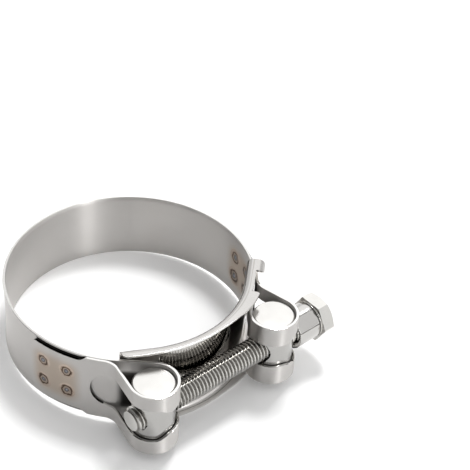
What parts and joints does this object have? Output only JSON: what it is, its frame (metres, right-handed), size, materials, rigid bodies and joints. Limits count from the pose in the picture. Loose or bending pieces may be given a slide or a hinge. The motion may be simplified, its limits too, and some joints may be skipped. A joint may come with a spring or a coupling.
{
  "type": "t bolt hose clamp",
  "caption": "Heavy duty stainless T bolt clamp: folded band with trunnion loops, flanged bridge, spacer sleeve and hexagon head bolt for tightening on a hose or pipe.",
  "frame": {"origin": "under the middle of the clamp's box, at the height of the bridge's lower flange", "axes": "+Z along the hose, +X along the bolt towards its head, -Y from the ring to the bolt"},
  "size_m": [0.0829, 0.087, 0.0288],
  "materials": {
    "band": "polished",
    "bridge": "satin",
    "nut_trunnion": "satin",
    "plain_trunnion": "satin",
    "spacer_sleeve": "polished",
    "bolt": "satin"
  },
  "bodies": {
    "band": {"band": "band", "bridge": "bridge"},
    "nut_trunnion": {"nut_trunnion": "nut_trunnion"},
    "plain_trunnion": {"plain_trunnion": "plain_trunnion"},
    "spacer_sleeve": {"spacer_sleeve": "spacer_sleeve"},
    "bolt": {"bolt": "bolt"}
  },
  "joints": [
    {"name": "nut_swivel", "type": "hinge", "parent": "band", "child": "nut_trunnion", "pos_m": [-0.0251, -0.0359, 0.0144], "axis": [0, 0, 1], "range_deg": [-0.3, 0.3]},
    {"name": "bolt_travel", "type": "slide", "parent": "nut_trunnion", "child": "spacer_sleeve", "axis": [1, 0, 0], "range_m": [0, 0.012]},
    {"name": "bolt_spin", "type": "hinge", "parent": "spacer_sleeve", "child": "bolt", "pos_m": [0.03645, -0.0359, 0.0144], "axis": [1, 0, 0], "range_deg": [0, 3456.1]},
    {"name": "plain_swivel", "type": "hinge", "parent": "band", "child": "plain_trunnion", "pos_m": [0.0212, -0.0359, 0.0144], "axis": [0, 0, 1], "range_deg": [-2.5, 2.5]}
  ],
  "couplings": [
    {"joint": "bolt_spin", "follows": "bolt_travel", "rad_per_m": 5026.5}
  ]
}
